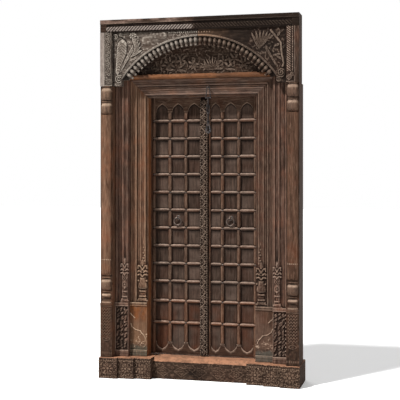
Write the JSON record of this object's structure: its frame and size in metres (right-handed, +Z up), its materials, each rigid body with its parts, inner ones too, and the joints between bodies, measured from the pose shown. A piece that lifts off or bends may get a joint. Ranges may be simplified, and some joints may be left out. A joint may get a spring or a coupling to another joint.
{
  "type": "carved double-leaf portal door",
  "caption": "Old carved wooden portal with arched head, half columns and block sill, and boarded double leaves that turn inwards on wooden pivots, with ring pulls and a hanging chain.",
  "frame": {"origin": "centre of the box's footprint on the floor, under the sill", "axes": "+X to the viewer's right, +Y into the doorway, +Z up"},
  "size_m": [1.412, 0.278, 2.5],
  "materials": {
    "dark_wood": "weathered, dry",
    "red_wood": "weathered, rubbed",
    "grey_wood": "bleached grey, dry",
    "bare_wood": "worn bare, smooth",
    "old_iron": "forged, dull brown"
  },
  "bodies": {
    "frame": {"sill": "bare_wood", "left_post": "dark_wood", "right_post": "dark_wood", "left_middle_jamb": "red_wood", "right_middle_jamb": "red_wood", "left_inner_jamb": "dark_wood", "right_inner_jamb": "dark_wood", "lintel": "dark_wood", "ledge": "bare_wood", "left_spandrel": "grey_wood", "right_spandrel": "dark_wood", "tympanum": "dark_wood", "left_border": "grey_wood", "right_border": "dark_wood", "head_border": "red_wood", "pivot_beam": "dark_wood", "chain_eye": "old_iron"},
    "left_leaf": {"left_boards": "dark_wood", "left_stile": "dark_wood", "left_top_rail": "dark_wood", "left_bottom_rail": "dark_wood", "left_uprights": "dark_wood", "left_cross_battens": "dark_wood", "left_back_ledges": "dark_wood", "left_nails": "old_iron", "left_rose": "old_iron", "left_eye": "old_iron", "meeting_bead": "dark_wood"},
    "right_leaf": {"right_boards": "dark_wood", "right_stile": "dark_wood", "right_top_rail": "dark_wood", "right_bottom_rail": "dark_wood", "right_uprights": "dark_wood", "right_cross_battens": "dark_wood", "right_back_ledges": "dark_wood", "right_nails": "old_iron", "right_rose": "old_iron", "right_eye": "old_iron", "meeting_strip": "dark_wood"},
    "left_ring": {"left_ring": "old_iron"},
    "right_ring": {"right_ring": "old_iron"},
    "pear_link": {"pear_link": "old_iron"},
    "link_one": {"link_one": "old_iron"},
    "link_two": {"link_two": "old_iron"},
    "link_three": {"link_three": "old_iron"},
    "hasp": {"hasp": "old_iron"}
  },
  "joints": [
    {"name": "left_leaf_pivot", "type": "hinge", "parent": "frame", "child": "left_leaf", "pos_m": [-0.405, 0.102, 0.146], "axis": [0, 0, 1], "range_deg": [0, 95]},
    {"name": "right_leaf_pivot", "type": "hinge", "parent": "frame", "child": "right_leaf", "pos_m": [0.405, 0.102, 0.146], "axis": [0, 0, -1], "range_deg": [0, 95]},
    {"name": "left_ring_lift", "type": "hinge", "parent": "left_leaf", "child": "left_ring", "pos_m": [-0.1905, 0.072, 1.116], "axis": [-1, 0, 0], "range_deg": [0, 120]},
    {"name": "right_ring_lift", "type": "hinge", "parent": "right_leaf", "child": "right_ring", "pos_m": [0.1905, 0.072, 1.116], "axis": [-1, 0, 0], "range_deg": [0, 120]},
    {"name": "pear_link_swing", "type": "hinge", "parent": "frame", "child": "pear_link", "pos_m": [0.058, -0.038, 2.024], "axis": [-1, 0, 0], "range_deg": [0, 60]},
    {"name": "link_one_swing", "type": "hinge", "parent": "pear_link", "child": "link_one", "pos_m": [0.058, -0.038, 1.948], "axis": [-1, 0, 0], "range_deg": [0, 45]},
    {"name": "link_two_swing", "type": "hinge", "parent": "link_one", "child": "link_two", "pos_m": [0.058, -0.038, 1.894], "axis": [0, 1, 0], "range_deg": [-35, 35]},
    {"name": "link_three_swing", "type": "hinge", "parent": "link_two", "child": "link_three", "pos_m": [0.058, -0.038, 1.84], "axis": [-1, 0, 0], "range_deg": [0, 45]},
    {"name": "hasp_swing", "type": "hinge", "parent": "link_three", "child": "hasp", "pos_m": [0.058, -0.038, 1.786], "axis": [0, 1, 0], "range_deg": [-35, 35]}
  ]
}
